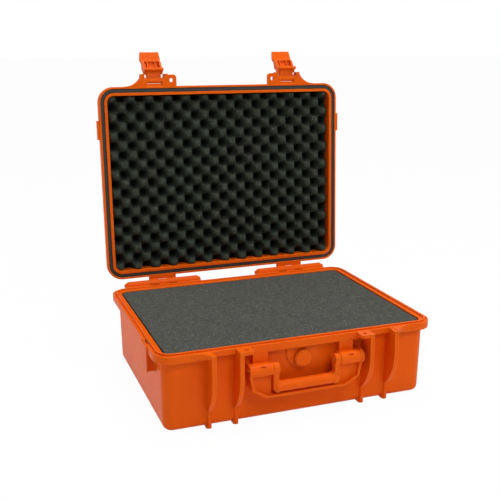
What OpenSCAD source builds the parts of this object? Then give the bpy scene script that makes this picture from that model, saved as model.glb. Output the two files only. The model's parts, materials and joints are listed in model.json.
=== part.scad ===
// Hard equipment case with a hinged lid, two hooked lever latches, a folding handle,
// a pressure valve and foam in both halves. Millimetres, +Z up, the front faces -Y.
// The origin lies on the plane of the feet, under the middle of the rim.

/* [Case] */
// outside width across the rim
case_w = 470; // [440:5:520]
// outside depth across the rim
case_d = 354; // [330:2:400]
// height of the closing plane above the feet
base_h = 130; // [122:1:170]
// height of the lid above the closing plane
lid_h = 45; // [42:1:70]
// angle of the open lid, measured from closed
lid_open = 93; // [60:1:94]
// wall thickness of both shells
wall_t = 4.5; // [3.6:0.1:5]
// corner radius of the rim seen from above
corner_r = 28; // [26:1:34]
// radius of the rounding where walls meet floor and top
edge_r = 10; // [7:1:12]
// inward slope of a wall over its whole height
draft = 2; // [1:0.25:2.5]
// height of the feet under the floor
foot_h = 2; // [1.5:0.25:3.5]

/* [Rim and seal] */
// how far the rim stands out beyond the wall
rim_out = 11; // [10:0.5:12]
// height of the rim band on each half
rim_h = 13; // [12:0.5:15]
// gap between the closed rims
part_gap = 0.4; // [0.35:0.05:1]
// distance of the sealing tongue from the rim edge
tongue_in = 5.5; // [5:0.1:6]
// width of the sealing tongue
tongue_w = 3; // [2.4:0.1:3.2]
// height of the sealing tongue
tongue_h = 2.25; // [1.5:0.25:4]
// thickness of the gasket
gasket_t = 3.6; // [2.5:0.1:4]

/* [Hinges and latches] */
// distance of each hinge and latch from the middle of a case 470 wide
station_x = 131; // [126:1:136]
// distance of the hinge axis behind the rim
hinge_out = 13.3; // [12.5:0.1:15]
// outer radius of the hinge knuckles
knuckle_r = 7.2; // [6:0.1:7.5]
// radius of the hinge pins
hinge_pin_r = 2.5; // [2:0.1:3]
// angle of the open latch arm, measured from closed
arm_open = 110; // [60:1:112]
// distance between the two axes of a latch arm
arm_len = 17; // [16.5:0.25:18]
// width of a latch arm
arm_w = 27; // [24:0.5:27.5]
// width of a latch lever
lever_w = 35; // [33.5:0.25:35]
// length of a latch lever below its axis
lever_len = 42; // [36:1:46]
// diameter of the padlock holes
padlock_d = 7.3; // [6:0.1:9]

/* [Handle and valve] */
// outside width of the handle
handle_w = 112.6; // [108:0.2:116]
// width of each handle arm
handle_arm_w = 8.8; // [8:0.2:11]
// radius of the handle grip
grip_r = 9; // [8:0.1:10.5]
// distance from the handle axis to the grip
grip_drop = 30.6; // [28:0.1:32]
// radius of the handle pins
handle_pin_r = 3; // [2.5:0.1:3.5]
// diameter of the valve knob
knob_d = 27.5; // [24:0.5:30]

/* [Foam] */
// spacing of the hollows and peaks of the lid foam
crate_pitch = 17.5; // [14:0.5:22]
// height of the lid foam peaks above its hollows
crate_h = 22; // [12:1:24]
// thickness of the lid foam under its hollows
crate_base = 15; // [10:1:16]
// thickness of the sheet under the base foam
pad_t = 12; // [8:1:20]

/* [Hidden] */
$fn = 64;
orange = [0.90, 0.30, 0.05];
dark_orange = [0.80, 0.25, 0.04];
black = [0.05, 0.05, 0.05];
charcoal = [0.12, 0.12, 0.12];
grey = [0.30, 0.31, 0.29];
steel = [0.70, 0.70, 0.72];

// clearances shared by every fit
push_gap = 0.01;
run_gap = 0.06;
side_gap = 0.4;
clear_gap = 0.5;
foam_gap = 0.3;
seal_gap = 0.05;
// small edge bevels, and how far joined forms run into each other
bevel = 0.6;
lap = 1;

// planes of the shells
front_y = -case_d / 2;
back_y = case_d / 2;
lid_z = base_h + part_gap;
top_z = base_h + lid_h;
floor_z = foot_h + wall_t;
wall_r = corner_r - rim_out;
lid_draft = draft / 2;
embed = rim_out + draft + lap;
band_z = lid_z + rim_h - 2 * lap;
inner_r = 4;
skirt_t = 3.5;
flange_t = 5;
soft_r = 1.2;
valley_in = 2.5;
valley_deep = 1.5;
groove_gap = 2;
groove_d = tongue_h + side_gap + gasket_t - part_gap;
lip_in = tongue_in - groove_gap - bevel;

// latch stations
usual_w = 470;
station = station_x * case_w / usual_w;
rib_w = 6.8;
rib_off = 21.8;
rib_out = 20.5;
rib_slim = draft + rim_out - 4;
rib_bend_drop = 35;
rib_bend_z = base_h - rib_bend_drop;
rib_low_z = 28;
rib_power = 2.6;
bead_r = 2.9;
bead_in = rim_out + lap;
foot_half = 4.3;
nose_r = 4.7;
nose_in = rim_out + draft + lap;
nose_h = 5;
nose_cone_h = 3;
cheek_out = 22;
cheek_flat = 8;
cheek_round = 7;
cheek_slope = 6;
ear_t = 5.2;
ear_out = 20.5;
ear_reach = 41;
ear_gap = 0.2;
ear_round = 6;
hole_out = 10.5;
hole_off = 31.5;
fairing_len = 30;
fairing_tip = 0.3;
catch_h = 9;
lug_out = 10;
lug_up = 6;
lug_t = 6.5;
lug_boss_r = 5.4;
arm_boss_r = 5;
web_out = lug_out - arm_boss_r - side_gap;
arm_tip_r = 4.2;
arm_t = 6;
lid_pin_r = 2;
lever_pin_r = 1.75;
cheek_t = 3.6;
cheek_r = 5;
lever_t = 4;
tab_t = 3;
tab_w = lever_w + 4;
tab_drop = 22;
tab_slope = 5;
hook_t = 5;
lever_rib_t = 2;
lever_rib_h = 3;
lever_rib_x = 7;
arm_sink = 1.2;
arm_rail = 4;
hook_r = 2;
hook_tip = -3;
arm_axis_y = front_y - lug_out;
arm_axis_z = base_h + lug_up;
lever_axis_z = arm_axis_z - arm_len;

// hinge
hinge_y = back_y + hinge_out;
hinge_half = 74;
slot_in = 8.6;
slot_out = 26.2;
stop_y = hinge_y + knuckle_r + clear_gap + 0.2;
stop_t = 4;
stop_side = 8;
hinge_taper = 7;
hinge_tip_r = knuckle_r - 4;
leaf_t = knuckle_r - 1;
hinge_pocket = 11;
hinge_lip = 1;
hinge_pin_half = 45;

// handle bracket
handle_z = 92.5;
handle_out = 8.5;
barrel_r = 9.9;
barrel_flat = 2;
barrel_in = handle_w / 2 + 0.8;
barrel_end = 95.5;
barrel_lip = 1.2;
barrel_lip_t = 3.6;
handle_boss_r = 9.3;
handle_arm_half = 5.6;
handle_round = 5;
slot_x = 74;
slot_len = 8.7;
slot_h = 3;
handle_pin_sink = 4;
guard_out = 14;
guard_t = 3.6;
guard_sink = 8;
guard_low_z = 46.8;
guard_mid_z = 60.5;
guard_top_z = 97;
guard_low_x = 66;
guard_mid_x = 90.3;
guard_top_x = 97.2;
neck_in = 61;
neck_end = 85;

// valve
valve_z = 97;
pad_half = 25;
pad_drop = 8;
pad_face = rim_out - 2.2;
valve_bore_r = 7;
bush_flange_r = 10.5;
bush_flange_t = 2;
stem_r = 4;
knob_t = 6;
knob_gap = 0.6;
seat_in = rim_out + wall_t + 1.5;
nut_t = 4;
nut_r = 10.5;
nut_room = 3;
seat_side = 2;
seal_r = 9;
seal_t = 0.8;
seal_sink = 0.6;
bush_face = pad_face - bush_flange_t;
knob_back = bush_face - knob_gap;

// strap brackets on the sides
strap_y = -101;
strap_half = 20;
strap_out = 2.4;
strap_z = base_h - 43;
strap_slot_in = 1.2;
strap_slot_w = 3.3;
strap_top = 2.5;
strap_cheek = 8;
strap_sink = 3;
strap_edge = 3;
tab_side = 3;
tab_edge = 2;
tab_out = 4;

// points of an arc in a profile
function arc(cx, cy, r, from, to, steps = 6) =
    [for (i = [0 : steps]) let (a = from + (to - from) * i / steps) [cx + r * cos(a), cy + r * sin(a)]];

// section of the base wall, measured outward from the centre of a corner
function base_section() = concat(
    [[0, foot_h]],
    arc(wall_r - draft - edge_r, foot_h + edge_r, edge_r, -90, 0),
    [[wall_r, base_h - flange_t - lap],
     [wall_r + lap, base_h - flange_t],
     [corner_r - skirt_t, base_h - flange_t],
     [corner_r - skirt_t, base_h - rim_h]],
    arc(corner_r - soft_r, base_h - rim_h + soft_r, soft_r, -90, 0, 3),
    arc(corner_r - soft_r, base_h - soft_r, soft_r, 0, 90, 3),
    [[corner_r - valley_in, base_h],
     [corner_r - valley_in - bevel, base_h - valley_deep],
     [corner_r - tongue_in, base_h - valley_deep],
     [corner_r - tongue_in, base_h + tongue_h - bevel],
     [corner_r - tongue_in - bevel, base_h + tongue_h],
     [corner_r - tongue_in - tongue_w + bevel, base_h + tongue_h],
     [corner_r - tongue_in - tongue_w, base_h + tongue_h - bevel],
     [corner_r - tongue_in - tongue_w, base_h - valley_deep / 2],
     [wall_r - wall_t + lap, base_h - valley_deep / 2],
     [wall_r - wall_t, base_h - valley_deep]],
    arc(wall_r - draft - wall_t - inner_r, floor_z + inner_r, inner_r, 0, -90, 4),
    [[0, floor_z]]);

// section of the lid wall, in the closed place
function lid_section() = concat(
    [[0, top_z - wall_t]],
    arc(wall_r - lid_draft - wall_t - inner_r, top_z - wall_t - inner_r, inner_r, 90, 0, 4),
    [[wall_r - wall_t, lid_z],
     [corner_r - tongue_in - tongue_w - groove_gap, lid_z],
     [corner_r - tongue_in - tongue_w - groove_gap, lid_z + groove_d],
     [corner_r - tongue_in + groove_gap, lid_z + groove_d],
     [corner_r - tongue_in + groove_gap, lid_z]],
    arc(corner_r - soft_r, lid_z + soft_r, soft_r, -90, 0, 3),
    arc(corner_r - soft_r, lid_z + rim_h - soft_r, soft_r, 0, 90, 3),
    [[wall_r + lap, lid_z + rim_h],
     [wall_r, lid_z + rim_h + lap]],
    arc(wall_r - lid_draft - edge_r, top_z - edge_r, edge_r, 0, 90),
    [[0, top_z]]);

// carries a section round the four sides and corners of the case
module ring(section) {
    for (k = [0 : 3]) {
        run = k % 2 == 0 ? case_d : case_w;
        across = k % 2 == 0 ? case_w : case_d;
        rotate([0, 0, 90 * k]) {
            translate([across / 2 - corner_r, run / 2 - corner_r, 0])
                rotate([90, 0, 0])
                    linear_extrude(run - 2 * corner_r)
                        polygon(section);
            translate([across / 2 - corner_r, run / 2 - corner_r, 0])
                rotate_extrude(angle = 90)
                    polygon(section);
        }
    }
}

// flat plate that closes the middle of a ring
module middle_plate(z) {
    translate([corner_r - case_w / 2, corner_r - case_d / 2, z])
        cube([case_w - 2 * corner_r, case_d - 2 * corner_r, wall_t]);
}

// upright block with rounded corners that keeps the given distance from the rim edge
module inset_block(inset, z, h) {
    r = corner_r - inset;
    translate([0, 0, z])
        linear_extrude(h)
            union() {
                square([case_w - 2 * corner_r, case_d - 2 * inset], center = true);
                square([case_w - 2 * inset, case_d - 2 * corner_r], center = true);
                for (sx = [-1, 1], sy = [-1, 1])
                    translate([sx * (case_w / 2 - corner_r), sy * (case_d / 2 - corner_r)])
                        circle(r);
            }
}

// round bar along X
module bar_x(x, y, z, len, r) {
    translate([x - len / 2, y, z])
        rotate([0, 90, 0])
            cylinder(h = len, r = r);
}

// plate along X, drawn as outward distance from the front edge and height
module plate_x(x, w, points) {
    translate([x + w / 2, front_y, 0])
        rotate([90, 0, -90])
            linear_extrude(w)
                polygon(points);
}

// round bar along the front-to-back direction, from one outward distance to another
module bar_y(x, z, from_out, to_out, r) {
    translate([x, front_y - from_out, z])
        rotate([90, 0, 0])
            cylinder(h = to_out - from_out, r = r);
}

module at_lid() {
    translate([0, hinge_y, base_h])
        rotate([-lid_open, 0, 0])
            translate([0, -hinge_y, -base_h])
                children();
}

module at_arm() {
    at_lid()
        translate([0, arm_axis_y, arm_axis_z])
            rotate([-arm_open, 0, 0])
                translate([0, -arm_axis_y, -arm_axis_z])
                    children();
}

// outline of a padlock ear with its hole, the side points to the middle of the case
module ear_outline() {
    difference() {
        union() {
            translate([rib_off - rib_w / 2, -lip_in])
                square([ear_reach - ear_round - rib_off + rib_w / 2, ear_out + lip_in]);
            translate([ear_reach - ear_round - lap, -lip_in])
                square([ear_round + lap, ear_out + lip_in - ear_round]);
            translate([ear_reach - ear_round, ear_out - ear_round])
                circle(ear_round);
        }
        translate([hole_off, hole_out])
            circle(d = padlock_d);
    }
}

// outline of the hollow fairing on the outer side of a latch
module fairing_outline() {
    x = rib_off + rib_w / 2 - lap;
    r = (fairing_len * fairing_len + ear_out * ear_out) / (2 * ear_out);
    difference() {
        translate([x, -lip_in])
            square([fairing_len, ear_out + lip_in]);
        translate([x + fairing_len, r + fairing_tip])
            circle(r);
    }
}

// padlock ear and fairing of one latch station, flat on the closing plane and growing away from it
module station_plates(side) {
    x = rib_off + rib_w / 2 - lap;
    mirror([side > 0 ? 1 : 0, 0, 0])
        translate([-station, front_y, 0])
            mirror([0, 1, 0]) {
                linear_extrude(ear_t)
                    ear_outline();
                mirror([1, 0, 0])
                    intersection() {
                        linear_extrude(rim_h - bevel)
                            fairing_outline();
                        translate([0, ear_out + lap, 0])
                            rotate([90, 0, 0])
                                linear_extrude(ear_out + lip_in + 2 * lap)
                                    polygon([[x, 0], [x + fairing_len, 0], [x + fairing_len, rim_h],
                                        [x, ear_t]]);
                    }
            }
}

// rib beside a latch: deep below the rim, sweeping in to a slim bead on the wall
module base_rib(x) {
    steps = 9;
    depth = rib_bend_z - rib_low_z;
    bend = [for (i = [0 : steps]) let (t = i / steps)
        [rib_out - (rib_out + rib_slim) * pow(t, rib_power), rib_bend_z - depth * t]];
    plate_x(x, rib_w, concat(
        [[-embed, base_h - flange_t / 2], [-skirt_t / 2, base_h - flange_t / 2],
         [-skirt_t / 2, base_h - ear_gap - lap], [rib_out - lap, base_h - ear_gap - lap]],
        bend,
        [[-embed, rib_low_z - bead_r]]));
    translate([x, front_y + bead_in, nose_h])
        cylinder(h = rib_low_z, r = bead_r);
}

// rail under the floor with a round nose at each end
module base_foot(x) {
    run = case_d / 2 - nose_in;
    translate([x - foot_half, -run, 0])
        cube([2 * foot_half, 2 * run, foot_h + lap]);
    for (side = [-1, 1])
        translate([x, side * run, 0]) {
            cylinder(h = nose_h, r = nose_r);
            translate([0, 0, nose_h])
                cylinder(h = nose_cone_h, r1 = nose_r, r2 = bead_r);
        }
}

module guard() {
    outer = [[-guard_top_x, guard_top_z], [-guard_mid_x, guard_mid_z], [-guard_low_x, guard_low_z],
        [guard_low_x, guard_low_z], [guard_mid_x, guard_mid_z], [guard_top_x, guard_top_z]];
    top_x = guard_top_x - guard_t;
    mid_x = guard_mid_x - guard_t;
    low_x = guard_low_x - guard_t / 4;
    top_z = guard_top_z + lap;
    mid_z = guard_mid_z + guard_t / 2;
    low_z = guard_low_z + guard_t;
    inner = [[-top_x, top_z], [-mid_x, mid_z], [-low_x, low_z],
        [low_x, low_z], [mid_x, mid_z], [top_x, top_z]];
    translate([0, front_y + embed, 0])
        rotate([90, 0, 0])
            linear_extrude(embed + guard_out)
                difference() {
                    polygon(outer);
                    polygon(inner);
                }
    for (side = [-1, 1])
        translate([0, front_y + embed, 0])
            rotate([90, 0, 0])
                linear_extrude(embed + guard_out - guard_sink)
                    polygon([for (q = [[barrel_in, handle_z], [guard_top_x - lap, handle_z],
                        [guard_mid_x - lap, guard_mid_z + lap], [guard_low_x, guard_low_z + lap],
                        [barrel_in, guard_low_z + lap]]) [side * q[0], q[1]]]);
}

module handle_bracket() {
    barrel_len = barrel_end - barrel_in;
    neck_w = neck_end - neck_in;
    for (side = [-1, 1]) {
        x = side * (barrel_in + barrel_end) / 2;
        bar_x(x, front_y - handle_out, handle_z, barrel_len, barrel_r);
        bar_x(side * (barrel_end + lap / 2 - barrel_lip_t / 2), front_y - handle_out, handle_z, barrel_lip_t,
            barrel_r + barrel_lip);
        translate([x - barrel_len / 2, front_y - handle_out, handle_z - barrel_r + barrel_flat])
            cube([barrel_len, handle_out + embed, 2 * (barrel_r - barrel_flat)]);
        translate([side * (neck_in + neck_end) / 2 - neck_w / 2, front_y + bevel, handle_z])
            cube([neck_w, embed - bevel, base_h - flange_t + lap - handle_z]);
    }
    guard();
}

// small slot in the upper front of a handle barrel
module barrel_slot(side) {
    translate([side * slot_x, front_y - handle_out, handle_z])
        rotate([45, 0, 0])
            translate([-slot_len / 2, -slot_h / 2, barrel_r - slot_h])
                cube([slot_len, slot_h, 2 * slot_h]);
}

module valve_pad() {
    translate([0, front_y + embed, 0])
        rotate([90, 0, 0])
            linear_extrude(embed - pad_face)
                union() {
                    translate([0, valve_z + pad_drop])
                        circle(pad_half);
                    translate([-pad_half, valve_z + pad_drop])
                        square([2 * pad_half, base_h - flange_t + lap - valve_z - pad_drop]);
                }
    bar_y(0, valve_z, -seat_in, -embed, nut_r + seat_side);
}

module strap_bracket(side) {
    depth = strap_out + embed;
    translate([side > 0 ? case_w / 2 - embed : -case_w / 2 - strap_out, strap_y - strap_half, strap_z])
        cube([depth, 2 * strap_half, base_h - strap_top - strap_z]);
}

// upright slot for a strap, and the hollows in the two ends of its bracket
module strap_slot(side) {
    x = case_w / 2 - strap_slot_in - strap_slot_w / 2;
    hollow_w = rim_out - lap + strap_out - strap_edge;
    hollow_x = case_w / 2 + strap_out - strap_edge - hollow_w / 2;
    translate([side * x - strap_slot_w / 2, strap_y - strap_half + strap_cheek, strap_z - lap])
        cube([strap_slot_w, 2 * (strap_half - strap_cheek), base_h - strap_z + 2 * lap]);
    for (end = [-1, 1])
        translate([side * hollow_x - hollow_w / 2, strap_y + end * strap_half - strap_sink, strap_z - lap])
            cube([hollow_w, 2 * strap_sink, base_h - rim_h - soft_r - strap_z + lap]);
}

// rear fairing with the fixed hinge knuckles, open where the lid knuckles turn
module base_hinge(x) {
    slot_w = slot_out - slot_in;
    slot_mid = (slot_in + slot_out) / 2;
    full = 2 * (hinge_half - hinge_taper);
    difference() {
        union() {
            bar_x(x, hinge_y, base_h, full, knuckle_r);
            for (side = [-1, 1])
                translate([x + side * full / 2, hinge_y, base_h])
                    rotate([0, 90 * side, 0])
                        cylinder(h = hinge_taper, r1 = knuckle_r, r2 = hinge_tip_r);
            translate([x - hinge_half + lap, back_y - skirt_t / 2, base_h - rim_h])
                cube([2 * (hinge_half - lap), hinge_out + skirt_t / 2, rim_h - clear_gap]);
            translate([x - slot_out - stop_side, hinge_y, base_h - rim_h])
                cube([2 * (slot_out + stop_side), stop_y + stop_t - hinge_y, rim_h + knuckle_r / 2]);
        }
        for (side = [-1, 1])
            bar_x(x + side * slot_mid, hinge_y, base_h, slot_w, knuckle_r + clear_gap);
        for (side = [-1, 1])
            translate([x + side * slot_mid - slot_w / 2, back_y + lap, base_h])
                cube([slot_w, stop_y - back_y - lap, 2 * knuckle_r]);
        for (side = [-1, 1])
            translate([x + side * slot_mid - slot_w / 2, back_y + hinge_lip, base_h - hinge_pocket])
                cube([slot_w, hinge_out - hinge_lip, 2 * hinge_pocket]);
        bar_x(x + side_of(x) * hinge_half / 2, hinge_y, base_h, hinge_half + 2 * hinge_pin_half,
            hinge_pin_r + push_gap);
    }
}

function side_of(x) = x < 0 ? -1 : 1;

// all that is joined to the tub of the base
module base_fittings() {
    for (side = [-1, 1]) {
        for (off = [-rib_off, rib_off]) {
            base_rib(side * station + off);
            base_foot(side * station + off);
        }
        translate([0, 0, base_h - ear_gap])
            mirror([0, 0, 1])
                station_plates(side);
        strap_bracket(side);
        base_hinge(side * station);
    }
    for (sy = [-1, 1])
        translate([-station - rib_off, sy * case_d / 4 - foot_half, 0])
            cube([2 * (station + rib_off), 2 * foot_half, foot_h + lap]);
    handle_bracket();
    valve_pad();
}

module base_shell() {
    color(orange)
        difference() {
            union() {
                ring(base_section());
                middle_plate(foot_h);
                base_fittings();
            }
            for (side = [-1, 1]) {
                translate([side * station - rib_off + rib_w / 2, front_y - lap, base_h - rim_h - lap])
                    cube([2 * rib_off - rib_w, skirt_t + 2 * lap, rim_h + lap - catch_h]);
                strap_slot(side);
                barrel_slot(side);
                bar_x(side * (barrel_in + barrel_end) / 2, front_y - handle_out, handle_z,
                    barrel_end - barrel_in + 4 * lap, handle_pin_r + push_gap);
            }
            bar_y(0, valve_z, -seat_in - lap, 0, valve_bore_r + push_gap);
        }
}

module base_foam() {
    z = floor_z + pad_t + foam_gap;
    color(grey)
        difference() {
            inset_block(rim_out + wall_t + draft + clear_gap, z, base_h - valley_deep - z);
            bar_y(0, valve_z, -seat_in - nut_t - nut_room, 0, nut_r + nut_room);
        }
}

module base_foam_pad() {
    color(charcoal)
        inset_block(rim_out + wall_t + draft + inner_r + foam_gap, floor_z, pad_t);
}

// lug that holds the pin of a latch arm, clear of the gasket groove
module lid_lug(x) {
    crown_z = arm_axis_z + lug_boss_r - bevel;
    bar_x(x, arm_axis_y, arm_axis_z, lug_t, lug_boss_r);
    plate_x(x, lug_t, [[-lip_in, lid_z], [lug_out, lid_z], [lug_out, crown_z],
        [-embed + lap, crown_z + cheek_slope], [-embed + lap, band_z], [-lip_in, band_z]]);
}

// cheek beside a lug, in line with a rib of the base
module lid_cheek(x) {
    corner = arc(cheek_out - cheek_round, lid_z + cheek_flat, cheek_round, 0, 90);
    plate_x(x, rib_w, concat(
        [[-lip_in, lid_z], [cheek_out, lid_z]],
        corner,
        [[-embed + lap, lid_z + cheek_flat + cheek_round + cheek_slope],
         [-embed + lap, band_z], [-lip_in, band_z]]));
}

// pair of lugs and cheeks with a web that closes the rim between them
module lid_station(side) {
    lug_off = arm_w / 2 + side_gap + lug_t / 2;
    web_w = arm_w + 2 * side_gap + lug_t;
    for (k = [-1, 1]) {
        lid_lug(side * station + k * lug_off);
        lid_cheek(side * station + k * rib_off);
    }
    plate_x(side * station, web_w, [[-lip_in, lid_z + soft_r], [web_out, lid_z + soft_r],
        [web_out, band_z], [-lip_in, band_z]]);
    translate([0, 0, lid_z])
        station_plates(side);
}

// two lid knuckles on a leaf that reaches back from the lid rim
module lid_tongue(x) {
    w = slot_out - slot_in - 2 * side_gap;
    for (side = [-1, 1]) {
        mid = x + side * (slot_in + slot_out) / 2;
        bar_x(mid, hinge_y, base_h, w, knuckle_r);
        translate([mid - w / 2, back_y - lip_in, lid_z])
            cube([w, hinge_out + lip_in, leaf_t]);
    }
    translate([x - slot_out + side_gap, back_y - lip_in, lid_z])
        cube([2 * (slot_out - side_gap), lip_in + hinge_out - knuckle_r - side_gap, leaf_t]);
}

module lid_closed() {
    difference() {
        union() {
            ring(lid_section());
            middle_plate(top_z - wall_t);
            for (side = [-1, 1]) {
                lid_station(side);
                lid_tongue(side * station);
                translate([side > 0 ? case_w / 2 - lip_in : -case_w / 2 - tab_out,
                    strap_y - strap_half + tab_side, lid_z + tab_edge])
                    cube([tab_out + lip_in, 2 * (strap_half - tab_side), rim_h - 2 * tab_edge]);
            }
        }
        for (side = [-1, 1]) {
            bar_x(side * station, arm_axis_y, arm_axis_z, 2 * rib_off + rib_w + lap, lid_pin_r + push_gap);
            bar_x(side * station, hinge_y, base_h, 2 * (slot_out + lap), hinge_pin_r + run_gap);
        }
    }
}

module lid_shell() {
    color(orange)
        at_lid()
            lid_closed();
}

module lid_gasket() {
    mid = corner_r - tongue_in - tongue_w / 2;
    half = tongue_w / 2 + groove_gap - seal_gap;
    top = lid_z + groove_d - seal_gap;
    color(black)
        at_lid()
            ring([[mid - half, top], [mid + half, top], [mid + half, top - gasket_t + bevel],
                [mid + half - bevel, top - gasket_t], [mid - half + bevel, top - gasket_t],
                [mid - half, top - gasket_t + bevel]]);
}

// ridged prism, one of the two that cross to form the egg-crate sheet
module ridges(half_count, low, high) {
    pitch = crate_pitch * sqrt(2);
    teeth = [for (i = [-half_count : half_count]) [i * pitch / 2, i % 2 == 0 ? low : high]];
    rotate([90, 0, 0])
        linear_extrude(half_count * pitch, center = true)
            polygon(concat([[-half_count * pitch / 2, 0]], teeth, [[half_count * pitch / 2, 0]]));
}

// egg-crate sheet: crossed ridges leave staggered peaks and hollows on a flat back
module lid_foam() {
    inset = rim_out + lid_draft + wall_t + foam_gap;
    count = 2 * ceil((case_w + case_d) / (4 * crate_pitch));
    color(charcoal)
        at_lid()
            translate([0, 0, top_z - wall_t - push_gap])
                mirror([0, 0, 1])
                    intersection() {
                        rotate([0, 0, 45])
                            ridges(count, crate_base, crate_base + crate_h);
                        rotate([0, 0, -45])
                            ridges(count, crate_base, crate_base + crate_h);
                        union() {
                            inset_block(inset + inner_r, -lap, inner_r + 2 * lap);
                            inset_block(inset, inner_r, crate_base + crate_h);
                        }
                    }
}

module hinge_pin(side) {
    color(steel)
        bar_x(side * station, hinge_y, base_h, 2 * hinge_pin_half, hinge_pin_r);
}

module hinge_pin_left() { hinge_pin(-1); }
module hinge_pin_right() { hinge_pin(1); }

// one handle arm: a boss on the pin, a flat shank and a round elbow
module handle_arm(side) {
    x = handle_w / 2 - handle_arm_w;
    elbow_x = handle_w / 2 - grip_r;
    elbow_z = handle_z - grip_drop;
    elbow_r = grip_r - bevel;
    bar_x(side * (x + handle_arm_w / 2), front_y - handle_out, handle_z, handle_arm_w, handle_boss_r);
    translate([side * elbow_x, front_y - handle_out, elbow_z])
        sphere(grip_r);
    translate([0, front_y - handle_out + handle_arm_half, 0])
        rotate([90, 0, 0])
            linear_extrude(2 * handle_arm_half)
                polygon([for (q = concat([[elbow_x, elbow_z], [x, elbow_z], [x, handle_z]],
                    [[elbow_x + elbow_r, handle_z]], arc(elbow_x, elbow_z, elbow_r, 0, -90)))
                    [side * q[0], q[1]]]);
}

// rounded inner corner between an arm and the grip
module handle_corner(side) {
    x = handle_w / 2 - handle_arm_w + lap / 2;
    z = handle_z - grip_drop + grip_r - 2 * bevel;
    r = handle_round + lap;
    translate([0, front_y - handle_out + handle_arm_half - bevel, 0])
        rotate([90, 0, 0])
            linear_extrude(2 * (handle_arm_half - bevel))
                polygon(concat([[side * x, z]],
                    [for (q = arc(x - r, z + r, r, -90, 0)) [side * q[0], q[1]]]));
}

module handle() {
    arm_x = handle_w / 2 - handle_arm_w / 2;
    color(orange)
        difference() {
            union() {
                for (side = [-1, 1]) {
                    handle_arm(side);
                    handle_corner(side);
                }
                bar_x(0, front_y - handle_out, handle_z - grip_drop, handle_w - 2 * grip_r,
                    grip_r - bevel / 2);
            }
            for (side = [-1, 1])
                bar_x(side * arm_x, front_y - handle_out, handle_z, handle_arm_w + 2 * lap,
                    handle_pin_r + run_gap);
        }
}

module handle_pin(side) {
    from = handle_w / 2 - handle_arm_w + lap / 2;
    to = barrel_end - handle_pin_sink;
    color(steel)
        bar_x(side * (from + to) / 2, front_y - handle_out, handle_z, to - from, handle_pin_r);
}

module handle_pin_left() { handle_pin(-1); }
module handle_pin_right() { handle_pin(1); }

// link that hangs from the lid lugs and carries the lever
module latch_arm(side) {
    x = side * station;
    color(dark_orange)
        at_arm()
            difference() {
                union() {
                    bar_x(x, arm_axis_y, arm_axis_z, arm_w, arm_boss_r);
                    bar_x(x, arm_axis_y, lever_axis_z, arm_w, arm_tip_r);
                    plate_x(x, arm_w, [
                        [lug_out - arm_t / 2, lever_axis_z], [lug_out + arm_t / 2, lever_axis_z],
                        [lug_out + arm_t / 2, arm_axis_z], [lug_out - arm_t / 2, arm_axis_z]]);
                }
                translate([x - arm_w / 2 + arm_rail, arm_axis_y + arm_t / 2 - arm_sink,
                    lever_axis_z + arm_tip_r])
                    cube([arm_w - 2 * arm_rail, arm_t, arm_len - arm_tip_r - arm_boss_r]);
                bar_x(x, arm_axis_y, arm_axis_z, arm_w + 2 * lap, lid_pin_r + run_gap);
                bar_x(x, arm_axis_y, lever_axis_z, arm_w + 2 * lap, lever_pin_r + push_gap);
            }
}

module latch_left_arm() { latch_arm(-1); }
module latch_right_arm() { latch_arm(1); }

// lever: front plate with a pull tab, two cheeks on the arm pin, ribs inside and a hook bar
module latch_lever(side) {
    x = side * station;
    z = lever_axis_z;
    plate_in = lug_out + cheek_r + 2.5;
    plate_out = plate_in + lever_t;
    rib_in = plate_in - lever_rib_h;
    plate_z = z - cheek_r - clear_gap;
    tab_in = rib_out + clear_gap;
    tab_z = z - tab_drop;
    hook_z = base_h - catch_h - side_gap;
    hook_in = lug_out - cheek_r;
    hook_low = hook_z - hook_t;
    color(orange)
        at_arm()
            difference() {
                union() {
                    for (k = [-1, 1]) {
                        cx = x + k * (lever_w - cheek_t) / 2;
                        bar_x(cx, arm_axis_y, z, cheek_t, cheek_r);
                        plate_x(cx, cheek_t, [
                            [hook_in + clear_gap, z - lap], [lug_out + cheek_r - lap, z + lap],
                            [plate_in + lap, plate_z], [plate_in + lap, tab_z - hook_r],
                            [lug_out + lap, tab_z + hook_r], [hook_in + lap, hook_low]]);
                        plate_x(x + k * lever_rib_x, lever_rib_t, [
                            [rib_in, plate_z - lever_rib_t], [plate_in + lap, plate_z - lap],
                            [plate_in + lap, tab_z], [rib_in, tab_z]]);
                        plate_x(cx, cheek_t, [[hook_in - lap, hook_z], [lug_out, hook_z],
                            [lug_out, hook_low], [hook_in - lap, hook_low]]);
                    }
                    plate_x(x, lever_w, concat([[hook_in, hook_low], [hook_in, hook_z]],
                        arc(hook_tip + hook_r, hook_z - hook_r, hook_r, 90, 180, 4),
                        arc(hook_tip + hook_r, hook_low + hook_r, hook_r, 180, 270, 4)));
                    plate_x(x, lever_w - lap, [[rib_in, tab_z + lap], [plate_in + lap, tab_z + lap],
                        [plate_in + lap, tab_z - lap], [rib_in, tab_z - lap]]);
                    plate_x(x, lever_w, [[plate_in, plate_z], [plate_out - lap, plate_z],
                        [plate_out, plate_z - lap], [plate_out, tab_z - tab_slope],
                        [plate_in, tab_z - tab_slope]]);
                    translate([x, front_y - tab_in, 0])
                        rotate([90, 0, 0])
                            linear_extrude(tab_t)
                                polygon([[-lever_w / 2, tab_z], [lever_w / 2, tab_z],
                                    [tab_w / 2, tab_z - tab_slope], [lever_w / 2, z - lever_len],
                                    [-lever_w / 2, z - lever_len], [-tab_w / 2, tab_z - tab_slope]]);
                }
                bar_x(x, arm_axis_y, z, lever_w + 2 * lap, lever_pin_r + run_gap);
            }
}

module latch_left_lever() { latch_lever(-1); }
module latch_right_lever() { latch_lever(1); }

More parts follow.
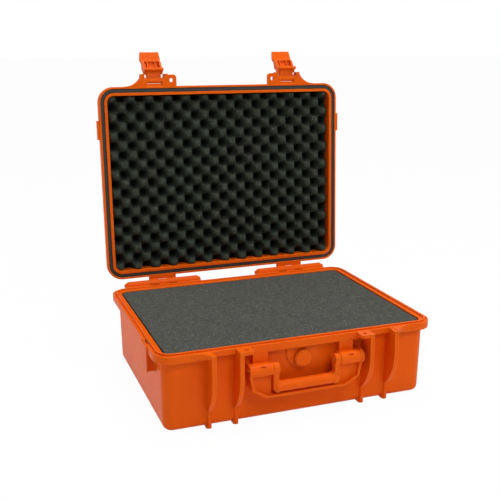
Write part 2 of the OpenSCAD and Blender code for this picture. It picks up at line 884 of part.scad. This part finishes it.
module latch_lid_pin(side) {
    color(steel)
        at_lid()
            bar_x(side * station, arm_axis_y, arm_axis_z, 2 * rib_off + rib_w - lap, lid_pin_r);
}

module latch_left_lid_pin() { latch_lid_pin(-1); }
module latch_right_lid_pin() { latch_lid_pin(1); }

module latch_lever_pin(side) {
    color(steel)
        at_arm()
            bar_x(side * station, arm_axis_y, lever_axis_z, lever_w - lap, lever_pin_r);
}

module latch_left_lever_pin() { latch_lever_pin(-1); }
module latch_right_lever_pin() { latch_lever_pin(1); }

module valve_bush() {
    color(black)
        difference() {
            union() {
                bar_y(0, valve_z, -pad_face, -bush_face, bush_flange_r);
                bar_y(0, valve_z, -seat_in - nut_t - lap, -pad_face, valve_bore_r);
            }
            bar_y(0, valve_z, -seat_in - nut_t - 2 * lap, 0, stem_r + run_gap);
        }
}

module valve_nut() {
    color(black)
        difference() {
            translate([0, front_y + seat_in + nut_t, valve_z])
                rotate([90, 0, 0])
                    cylinder(h = nut_t, r = nut_r, $fn = 6);
            bar_y(0, valve_z, -seat_in - nut_t - lap, 0, valve_bore_r + push_gap);
        }
}

module valve_o_ring() {
    color(black)
        translate([0, front_y + knob_back - seal_sink, valve_z])
            rotate([90, 0, 0])
                rotate_extrude()
                    translate([seal_r, 0])
                        circle(seal_t);
}

module valve_knob() {
    groove_r = seal_t + 0.1;
    step = 2;
    color(orange)
        difference() {
            union() {
                bar_y(0, valve_z, -knob_back, -knob_back + knob_t - step, knob_d / 2);
                bar_y(0, valve_z, -knob_back, -knob_back + knob_t, knob_d / 2 - step);
                bar_y(0, valve_z, -seat_in + step, -knob_back + lap, stem_r);
            }
            translate([0, front_y + knob_back - seal_sink, valve_z])
                rotate([90, 0, 0])
                    rotate_extrude()
                        translate([seal_r - groove_r, -step])
                            square([2 * groove_r, step + groove_r]);
        }
}

base_shell();
base_foam();
base_foam_pad();
lid_shell();
lid_gasket();
lid_foam();
hinge_pin_left();
hinge_pin_right();
handle();
handle_pin_left();
handle_pin_right();
latch_left_arm();
latch_right_arm();
latch_left_lever();
latch_right_lever();
latch_left_lid_pin();
latch_right_lid_pin();
latch_left_lever_pin();
latch_right_lever_pin();
valve_bush();
valve_nut();
valve_o_ring();
valve_knob();
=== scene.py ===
import json
import math
import bpy
import bmesh
from mathutils import Matrix, Vector, noise


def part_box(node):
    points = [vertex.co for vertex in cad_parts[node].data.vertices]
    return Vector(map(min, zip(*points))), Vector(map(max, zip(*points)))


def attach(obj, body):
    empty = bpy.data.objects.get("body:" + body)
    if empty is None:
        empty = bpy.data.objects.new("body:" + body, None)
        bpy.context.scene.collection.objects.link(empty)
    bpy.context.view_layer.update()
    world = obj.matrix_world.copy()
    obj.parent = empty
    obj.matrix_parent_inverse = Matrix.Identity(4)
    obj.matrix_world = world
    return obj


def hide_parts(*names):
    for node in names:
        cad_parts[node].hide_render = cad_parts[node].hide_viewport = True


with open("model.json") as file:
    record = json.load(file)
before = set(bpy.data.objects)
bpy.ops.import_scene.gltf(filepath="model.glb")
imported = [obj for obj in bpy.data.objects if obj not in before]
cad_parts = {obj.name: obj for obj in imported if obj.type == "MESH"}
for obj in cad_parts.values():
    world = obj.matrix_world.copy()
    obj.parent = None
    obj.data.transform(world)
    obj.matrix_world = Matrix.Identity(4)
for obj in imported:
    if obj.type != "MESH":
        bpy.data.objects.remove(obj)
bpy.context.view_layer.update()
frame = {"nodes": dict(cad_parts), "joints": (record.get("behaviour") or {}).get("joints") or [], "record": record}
nodes = frame["nodes"]
MM = 0.001

# linear colours
ORANGE = (0.80, 0.104, 0.0015)
ORANGE_WARM = (0.84, 0.118, 0.002)
# paler orange mixed onto edges as a painted highlight
ORANGE_EDGE_HIGHLIGHT = (0.98, 0.36, 0.03)
BLACK = (0.02, 0.02, 0.02)
BLACK_WARM = (0.026, 0.026, 0.026)
# paler black mixed onto edges as a painted highlight
BLACK_EDGE_HIGHLIGHT = (0.06, 0.06, 0.06)
RUBBER_DARK, RUBBER_PALE = (0.010, 0.011, 0.010), (0.017, 0.018, 0.017)
STEEL_DARK, STEEL_PALE = (0.52, 0.52, 0.54), (0.66, 0.66, 0.68)
GREY_PORE, GREY_SKIN, GREY_FLECK = (0.046, 0.048, 0.042), (0.106, 0.108, 0.096), (0.20, 0.20, 0.185)
DARK_PORE, DARK_SKIN, DARK_FLECK = (0.021, 0.0265, 0.0195), (0.065, 0.078, 0.0575), (0.15, 0.155, 0.135)
# painted shade for the deepest hollows of the lid foam
PAINTED_HOLLOW_SHADE = (0.0012, 0.0018, 0.0012)
WHITE, FLOOR_GREY = (1.0, 1.0, 1.0, 1.0), (0.9, 0.9, 0.9, 1.0)

# sizes of the surface textures, in cells to the metre
CLOUD_SCALE = 11.0
RUBBER_SCALE = 90.0
GLOSS_SCALE = 240.0
RUBBER_GLOSS_SCALE = 400.0
PORE_SCALE = 560.0
RUBBER_GRAIN_SCALE = 1300.0
GRAIN_SCALE = 1500.0
BRUSH_SCALE = 2200.0
NOISE_LOW, NOISE_HIGH = 0.3, 0.7

# plastic: rounding of its edges and depth of its grain in mm, and how much painted highlight goes on an edge
EDGE_RADIUS, GRAIN_DEPTH, GRAIN_STRENGTH = 1.1, 0.25, 0.12
FLAT_TURN, EDGE_TURN, EDGE_HIGHLIGHT_SHARE = 0.01, 0.25, 0.75
PLASTIC_SPECULAR = 0.085

# foam: depth of its pores in mm, shares of fine and broad mottling, and where flecks show
PORE_DEPTH, PORE_STRENGTH = 0.6, 0.5
FINE_SHARE, MOTTLE_SHARE = 0.65, 0.35
FLECK_LOW, FLECK_HIGH = 0.74, 0.80
FOAM_SPECULAR = 0.04

# foam sizes in mm; the outer sizes come from the solids
BLOCK_CORNER, BLOCK_EDGE, BLOCK_WAVE = 10.0, 1.6, 0.35
SHEET_CORNER, SHEET_EDGE, SHEET_WAVE = 6.2, 1.2, 0.1
WAVE_LENGTH = 38.0
SIDE_DIP = 0.25
TOP_RINGS, RING_STEP = 14, 10.5
CRATE_PITCH, CRATE_BASE, CRATE_CORNER, CRATE_CHAMFER = 17.5, 15.0, 11.1, 4.0
CRATE_GAP = 0.1
CRATE_SQUARE = 1.9
CRATE_WANDER, WANDER_LENGTH = 1.1, 60.0
CRATE_UNEVEN, UNEVEN_LENGTH = 0.05, 45.0
# how fast the painted shade in the hollows falls off towards the peaks
HOLLOW_SHADE_FALL = 2.6
MIN_CORNER = 0.6

# steps of the foam meshes: in a corner, along a side, round an edge, up a side, across the lid foam
CORNER_STEPS, SIDE_STEPS, EDGE_STEPS, RISE_STEPS = 6, 40, 4, 6
CRATE_NX, CRATE_NY = 224, 164

# fixed shifts that pick the noise of the foam
RIPPLE_LAYER, WANDER_SHIFT_X, WANDER_SHIFT_Y = 3.7, 71, -53


# materials
class Graph:
    """Short hand for building one node material."""

    def __init__(self, name):
        self.mat = bpy.data.materials.new(name)
        self.mat.use_nodes = True
        self.tree = self.mat.node_tree
        self.shader = self.tree.nodes["Principled BSDF"]
        coord = self.add("ShaderNodeTexCoord")
        self.place = coord.outputs["Object"]

    def add(self, kind, **values):
        node = self.tree.nodes.new(kind)
        for key, value in values.items():
            setattr(node, key, value)
        return node

    def link(self, out, into):
        self.tree.links.new(out, into)

    def noise(self, scale, detail=2.0, rough=0.5, distortion=0.0):
        node = self.add("ShaderNodeTexNoise")
        node.inputs["Scale"].default_value = scale
        node.inputs["Detail"].default_value = detail
        node.inputs["Roughness"].default_value = rough
        node.inputs["Distortion"].default_value = distortion
        self.link(self.place, node.inputs["Vector"])
        return node.outputs["Fac"]

    def cells(self, scale):
        node = self.add("ShaderNodeTexVoronoi")
        node.inputs["Scale"].default_value = scale
        self.link(self.place, node.inputs["Vector"])
        return node.outputs["Distance"]

    def remap(self, value, low, high, to_low=0.0, to_high=1.0):
        node = self.add("ShaderNodeMapRange")
        node.inputs["From Min"].default_value = low
        node.inputs["From Max"].default_value = high
        node.inputs["To Min"].default_value = to_low
        node.inputs["To Max"].default_value = to_high
        self.link(value, node.inputs["Value"])
        return node.outputs["Result"]

    def math(self, kind, a, b):
        node = self.add("ShaderNodeMath", operation=kind)
        for socket, value in zip(node.inputs, (a, b)):
            if isinstance(value, (int, float)):
                socket.default_value = value
            else:
                self.link(value, socket)
        return node.outputs["Value"]

    def mix(self, factor, a, b):
        node = self.add("ShaderNodeMix", data_type="RGBA")
        self.link(factor, node.inputs["Factor"])
        for socket, value in zip((node.inputs[6], node.inputs[7]), (a, b)):
            if isinstance(value, tuple):
                socket.default_value = (*value, 1.0)
            else:
                self.link(value, socket)
        return node.outputs[2]

    def bump(self, height, strength, distance, normal=None):
        node = self.add("ShaderNodeBump")
        node.inputs["Strength"].default_value = strength
        node.inputs["Distance"].default_value = distance
        self.link(height, node.inputs["Height"])
        if normal is not None:
            self.link(normal, node.inputs["Normal"])
        return node.outputs["Normal"]

    def rounded(self, radius):
        node = self.add("ShaderNodeBevel", samples=6)
        node.inputs["Radius"].default_value = radius
        return node.outputs["Normal"]

    def edges(self, soft_normal, low, high):
        """How far the softened normal turns away from the face: 0 on flats, 1 on edges."""
        flat = self.add("ShaderNodeNewGeometry").outputs["Normal"]
        dot = self.add("ShaderNodeVectorMath", operation="DOT_PRODUCT")
        self.link(soft_normal, dot.inputs[0])
        self.link(flat, dot.inputs[1])
        turn = self.math("SUBTRACT", 1.0, dot.outputs["Value"])
        return self.remap(turn, low, high)

    def colour(self, out):
        self.link(out, self.shader.inputs["Base Color"])

    def roughness(self, out):
        self.link(out, self.shader.inputs["Roughness"])

    def normal(self, out):
        self.link(out, self.shader.inputs["Normal"])

    def set(self, **values):
        for key, value in values.items():
            self.shader.inputs[key.replace("_", " ")].default_value = value


def moulded_plastic(name, main, warm, edge_highlight, low_rough, high_rough):
    """Textured moulding: soft edges with a painted highlight, faint clouds of colour, fine grain."""
    g = Graph(name)
    soft = g.rounded(EDGE_RADIUS * MM)
    cloud = g.remap(g.noise(CLOUD_SCALE, detail=3.0), 0.35, 0.65)
    tint = g.mix(cloud, main, warm)
    # painted highlight along the edges, strongest where the softened normal turns most
    edge_highlight_mask = g.math("MULTIPLY", g.edges(soft, FLAT_TURN, EDGE_TURN), EDGE_HIGHLIGHT_SHARE)
    g.colour(g.mix(edge_highlight_mask, tint, edge_highlight))
    gloss = g.noise(GLOSS_SCALE, detail=3.0)
    g.roughness(g.remap(gloss, NOISE_LOW, NOISE_HIGH, low_rough, high_rough))
    g.normal(g.bump(g.noise(GRAIN_SCALE, rough=0.6), GRAIN_STRENGTH, GRAIN_DEPTH * MM, soft))
    g.set(Specular_IOR_Level=PLASTIC_SPECULAR)
    return g.mat


def foam(name, pore, skin, fleck, hollow_shade=None):
    """Open-cell foam: fine pores, mottling and a few pale flecks, with painted shade down in any hollows."""
    g = Graph(name)
    fine = g.noise(PORE_SCALE, detail=3.0, rough=0.75)
    mottle = g.noise(PORE_SCALE * 0.3, rough=0.6)
    speckle = g.math("ADD", g.math("MULTIPLY", fine, FINE_SHARE), g.math("MULTIPLY", mottle, MOTTLE_SHARE))
    tint = g.mix(g.remap(speckle, 0.36, 0.64), pore, skin)
    spark = g.remap(g.noise(PORE_SCALE * 0.8, detail=0.0, rough=0.4), FLECK_LOW, FLECK_HIGH)
    tint = g.mix(spark, tint, fleck)
    if hollow_shade:
        # painted shade in the hollows, read from the hollow mask the lid foam carries
        depth = g.add("ShaderNodeAttribute", attribute_name="hollow_shade_mask").outputs["Fac"]
        tint = g.mix(depth, tint, hollow_shade)
    g.colour(tint)
    g.roughness(g.remap(fine, NOISE_LOW, NOISE_HIGH, 0.86, 1.0))
    pores = g.math("ADD", fine, g.cells(PORE_SCALE * 0.6))
    g.normal(g.bump(pores, PORE_STRENGTH, PORE_DEPTH * MM))
    g.set(Specular_IOR_Level=FOAM_SPECULAR)
    return g.mat


def rubber(name):
    g = Graph(name)
    g.colour(g.mix(g.noise(RUBBER_SCALE, detail=3.0), RUBBER_DARK, RUBBER_PALE))
    g.roughness(g.remap(g.noise(RUBBER_GLOSS_SCALE), NOISE_LOW, NOISE_HIGH, 0.5, 0.68))
    g.normal(g.bump(g.noise(RUBBER_GRAIN_SCALE), 0.1, 0.2 * MM, g.rounded(0.8 * MM)))
    return g.mat


def brushed_steel(name):
    g = Graph(name)
    lines = g.noise(BRUSH_SCALE, rough=0.6, distortion=0.3)
    g.colour(g.mix(lines, STEEL_DARK, STEEL_PALE))
    g.roughness(g.remap(lines, NOISE_LOW, NOISE_HIGH, 0.28, 0.42))
    g.normal(g.bump(lines, 0.05, 0.05 * MM, g.rounded(0.4 * MM)))
    g.set(Metallic=1.0)
    return g.mat


finishes = {
    "orange_plastic": moulded_plastic("orange_plastic", ORANGE, ORANGE_WARM, ORANGE_EDGE_HIGHLIGHT, 0.34, 0.46),
    "black_plastic": moulded_plastic("black_plastic", BLACK, BLACK_WARM, BLACK_EDGE_HIGHLIGHT, 0.4, 0.55),
    "seal": rubber("seal_rubber"),
    "steel": brushed_steel("pin_steel"),
    "grey_foam": foam("grey_foam", GREY_PORE, GREY_SKIN, GREY_FLECK),
    "dark_foam": foam("dark_foam", DARK_PORE, DARK_SKIN, DARK_FLECK, PAINTED_HOLLOW_SHADE),
}
for part in frame["record"]["subparts"]:
    mesh = nodes[part["node"]].data
    mesh.materials.clear()
    mesh.materials.append(finishes[part["material_slot"]])


# foam pieces
lid_hinge = next(joint for joint in frame["joints"] if joint["name"] == "lid_hinge")
hinge_place = Matrix.Translation(lid_hinge["pos_m"])
closed_deg = lid_hinge["range_deg"][0]
open_lid = hinge_place @ Matrix.Rotation(math.radians(closed_deg), 4, "X") @ hinge_place.inverted()


def outline(half_x, half_y, radius):
    """Points round a rectangle with rounded corners."""
    mid_x, mid_y = half_x - radius, half_y - radius
    points = []
    for turn, (sx, sy) in enumerate(((1, 1), (-1, 1), (-1, -1), (1, -1))):
        for i in range(CORNER_STEPS + 1):
            a = math.radians(90 * (turn + i / CORNER_STEPS))
            points.append((sx * mid_x + radius * math.cos(a), sy * mid_y + radius * math.sin(a)))
        ex, ey = points[-1]
        length = 2 * (mid_x if turn % 2 == 0 else mid_y)
        dx, dy = ((-1, 0), (0, -1), (1, 0), (0, 1))[turn]
        for i in range(1, SIDE_STEPS):
            step = length * i / SIDE_STEPS
            points.append((ex + dx * step, ey + dy * step))
    return points


def finish_piece(bm, name, finish, body, node):
    bmesh.ops.recalc_face_normals(bm, faces=bm.faces)
    mesh = bpy.data.meshes.new(name)
    bm.to_mesh(mesh)
    bm.free()
    for face in mesh.polygons:
        face.use_smooth = True
    piece = bpy.data.objects.new(name, mesh)
    bpy.context.collection.objects.link(piece)
    mesh.materials.append(finishes[finish])
    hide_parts(node)
    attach(piece, body)


def ripple(x, y, length, size):
    return size * noise.noise(Vector((x / length, y / length, RIPPLE_LAYER)))


def band_faces(bm, lower, upper):
    """Faces between two closed rows of points."""
    for i in range(len(lower)):
        j = (i + 1) % len(lower)
        bm.faces.new((lower[i], lower[j], upper[j], upper[i]))


def foam_block(name, node, finish, corner, edge, wave):
    """Cut foam block: slightly rounded edges, faces that are not quite true."""
    box_low, box_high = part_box(node)
    half_x, half_y = box_high.x / MM, box_high.y / MM
    low, high = box_low.z / MM, box_high.z / MM
    quarter = [math.radians(90 * i / EDGE_STEPS) for i in range(EDGE_STEPS + 1)]
    rows = [(edge * (1 - math.sin(a)), low + edge * (1 - math.cos(a))) for a in quarter]
    for t in (i / RISE_STEPS for i in range(1, RISE_STEPS)):
        rows.append((SIDE_DIP * math.sin(math.pi * t), low + edge + (high - low - 2 * edge) * t))
    rows += [(edge * (1 - math.cos(a)), high - edge * (1 - math.sin(a))) for a in quarter]
    rows += [(edge + RING_STEP * i, high) for i in range(1, TOP_RINGS + 1)]
    bm = bmesh.new()
    loops = []
    for inset, z in rows:
        loop = []
        for x, y in outline(half_x - inset, half_y - inset, max(corner - inset, MIN_CORNER)):
            dip = ripple(x, y, WAVE_LENGTH, wave) - wave if z > high - edge else 0.0
            loop.append(bm.verts.new((x * MM, y * MM, (z + dip) * MM)))
        loops.append(loop)
    for lower, upper in zip(loops, loops[1:]):
        band_faces(bm, lower, upper)
    bm.faces.new(loops[0][::-1])
    bm.faces.new(loops[-1])
    finish_piece(bm, name, finish, "base", node)


def egg_crate(name, node, finish):
    """Convoluted lid foam: staggered soft peaks and hollows on a flat back, made closed and then opened."""
    closed = [open_lid.inverted() @ vert.co for vert in nodes[node].data.vertices]
    full_x = max(place.x for place in closed) / MM - CRATE_GAP
    full_y = max(place.y for place in closed) / MM - CRATE_GAP
    back = max(place.z for place in closed) / MM
    peak = back - min(place.z for place in closed) / MM - CRATE_BASE
    wave = 2 * math.pi / (CRATE_PITCH * math.sqrt(2))
    nx, ny = CRATE_NX, CRATE_NY

    def spot(i, j, inset=0.0):
        """Place of one grid point, pulled inside the rounded corners."""
        half_x, half_y, radius = full_x - inset, full_y - inset, CRATE_CORNER - inset
        x, y = half_x * (2 * i / nx - 1), half_y * (2 * j / ny - 1)
        cx, cy = half_x - radius, half_y - radius
        ox, oy = abs(x) - cx, abs(y) - cy
        if ox > 0 and oy > 0 and math.hypot(ox, oy) > radius:
            k = radius / math.hypot(ox, oy)
            return math.copysign(cx + ox * k, x), math.copysign(cy + oy * k, y)
        return x, y

    def relief(x, y):
        """Height over the hollows, from 0 to 1."""
        wx = x + ripple(x + WANDER_SHIFT_X, y, WANDER_LENGTH, CRATE_WANDER)
        wy = y + ripple(x, y + WANDER_SHIFT_Y, WANDER_LENGTH, CRATE_WANDER)
        u, v = (wx + wy) / math.sqrt(2), (wy - wx) / math.sqrt(2)
        s = -0.5 * (math.cos(wave * u) + math.cos(wave * v))
        share = 0.5 + 0.5 * math.tanh(CRATE_SQUARE * s) / math.tanh(CRATE_SQUARE)
        return share * (1 - CRATE_UNEVEN + ripple(x, y, UNEVEN_LENGTH, CRATE_UNEVEN))

    bm = bmesh.new()
    # mask of painted shade: darkest in the hollows, none on the peaks
    hollow_shade_mask = bm.verts.layers.float.new("hollow_shade_mask")

    def put(x, y, height, darkness):
        vert = bm.verts.new((x * MM, y * MM, (back - height) * MM))
        vert[hollow_shade_mask] = darkness
        return vert

    front = []
    for j in range(ny + 1):
        row = []
        for i in range(nx + 1):
            x, y = spot(i, j)
            share = relief(x, y)
            row.append(put(x, y, CRATE_BASE + peak * share, max(0.0, 1 - share) ** HOLLOW_SHADE_FALL))
        front.append(row)
    for j in range(ny):
        for i in range(nx):
            bm.faces.new((front[j][i], front[j][i + 1], front[j + 1][i + 1], front[j + 1][i]))
    rim = [(i, 0) for i in range(nx)] + [(nx, j) for j in range(ny)]
    rim += [(i, ny) for i in range(nx, 0, -1)] + [(0, j) for j in range(ny, 0, -1)]
    edge = [front[j][i] for i, j in rim]
    # the chamfered sides and the back get the full painted shade
    for inset, height in ((0.0, CRATE_CHAMFER), (CRATE_CHAMFER, 0.0)):
        places = [spot(i, j, inset) for i, j in rim]
        lower = [put(x, y, height, 1.0) for x, y in places]
        band_faces(bm, lower, edge)
        edge = lower
    bm.faces.new(edge)
    bm.transform(open_lid)
    finish_piece(bm, name, finish, "lid", node)


foam_block("base_foam_block", "base_foam", "grey_foam", BLOCK_CORNER, BLOCK_EDGE, BLOCK_WAVE)
foam_block("base_foam_sheet", "base_foam_pad", "dark_foam", SHEET_CORNER, SHEET_EDGE, SHEET_WAVE)
egg_crate("lid_foam_sheet", "lid_foam", "dark_foam")


# floor and background
WORLD_LIGHT, WORLD_SEEN = 0.21, 1.0
FLOOR_SEEN = 0.975
FLOOR_SIZE, FLOOR_DROP, FLOOR_ROUGH = 30.0, 0.0002, 0.9


def camera_seen(tree):
    """1 for rays from the camera and for mirrored and transmitted ones, 0 for light on the object."""
    path = tree.nodes.new("ShaderNodeLightPath")
    seen = path.outputs["Is Camera Ray"]
    for ray in ("Is Glossy Ray", "Is Transmission Ray"):
        either = tree.nodes.new("ShaderNodeMath")
        either.operation = "MAXIMUM"
        tree.links.new(seen, either.inputs[0])
        tree.links.new(path.outputs[ray], either.inputs[1])
        seen = either.outputs[0]
    return seen


def white_world():
    world = bpy.data.worlds.new("studio")
    bpy.context.scene.world = world
    world.use_nodes = True
    tree = world.node_tree
    lit = tree.nodes["Background"]
    seen = tree.nodes.new("ShaderNodeBackground")
    for background, strength in ((lit, WORLD_LIGHT), (seen, WORLD_SEEN)):
        background.inputs["Color"].default_value = WHITE
        background.inputs["Strength"].default_value = strength
    choose = tree.nodes.new("ShaderNodeMixShader")
    tree.links.new(camera_seen(tree), choose.inputs[0])
    tree.links.new(lit.outputs[0], choose.inputs[1])
    tree.links.new(seen.outputs[0], choose.inputs[2])
    tree.links.new(choose.outputs[0], tree.nodes["World Output"].inputs[0])


def white_floor():
    mat = bpy.data.materials.new("floor")
    mat.use_nodes = True
    tree = mat.node_tree
    matt = tree.nodes["Principled BSDF"]
    matt.inputs["Base Color"].default_value = FLOOR_GREY
    matt.inputs["Roughness"].default_value = FLOOR_ROUGH
    glow = tree.nodes.new("ShaderNodeEmission")
    share = tree.nodes.new("ShaderNodeMath")
    share.operation = "MULTIPLY"
    share.inputs[1].default_value = FLOOR_SEEN
    blend = tree.nodes.new("ShaderNodeMixShader")
    tree.links.new(camera_seen(tree), share.inputs[0])
    tree.links.new(share.outputs[0], blend.inputs[0])
    tree.links.new(matt.outputs[0], blend.inputs[1])
    tree.links.new(glow.outputs[0], blend.inputs[2])
    tree.links.new(blend.outputs[0], tree.nodes["Material Output"].inputs[0])
    mesh = bpy.data.meshes.new("floor")
    bm = bmesh.new()
    bmesh.ops.create_grid(bm, x_segments=1, y_segments=1, size=FLOOR_SIZE)
    bm.to_mesh(mesh)
    bm.free()
    mesh.materials.append(mat)
    floor = bpy.data.objects.new("floor", mesh)
    bpy.context.collection.objects.link(floor)
    floor.location.z = -FLOOR_DROP


white_world()
white_floor()


# light: place, aim, width in metres and power in watts of each square lamp
LAMPS = {
    "key": ((0.3, -2.1, 2.2), (0.0, 0.0, 0.2), 0.9, 24.0),
    "fill": ((2.2, -1.4, 1.4), (0.0, 0.0, 0.2), 1.4, 12.0),
    "side": ((-2.3, 0.9, 1.1), (0.0, 0.0, 0.15), 1.4, 15.0),
    "top": ((0.2, 0.0, 2.6), (0.0, 0.0, 0.1), 1.2, 37.0),
}


def look(obj, place, direction):
    obj.location = place
    obj.rotation_euler = direction.to_track_quat("-Z", "Y").to_euler()


for name, (place, aim, width, power) in LAMPS.items():
    light = bpy.data.lights.new(name, "AREA")
    light.shape = "RECTANGLE"
    light.size = light.size_y = width
    light.energy = power
    lamp = bpy.data.objects.new(name, light)
    bpy.context.collection.objects.link(lamp)
    look(lamp, place, Vector(aim) - Vector(place))


# camera, fitted to the rim, foam, lid and bottom edges in the photograph
AZIMUTH, ELEVATION, DISTANCE = math.radians(-20.37), math.radians(14.71), 1.3527
TARGET = Vector((-0.0243, 0.0, 0.2309))
FOCAL_PIXELS, IMAGE_PIXELS, SENSOR_WIDTH = 791.7, 500, 36.0
cam_data = bpy.data.cameras.new("camera")
cam_data.sensor_width = SENSOR_WIDTH
cam_data.lens = FOCAL_PIXELS / IMAGE_PIXELS * SENSOR_WIDTH
cam = bpy.data.objects.new("camera", cam_data)
bpy.context.collection.objects.link(cam)
level = math.cos(ELEVATION)
away = Vector((math.sin(AZIMUTH) * level, -math.cos(AZIMUTH) * level, math.sin(ELEVATION)))
look(cam, TARGET + away * DISTANCE, -away)
bpy.context.scene.camera = cam
bpy.context.scene.view_settings.view_transform = "Standard"
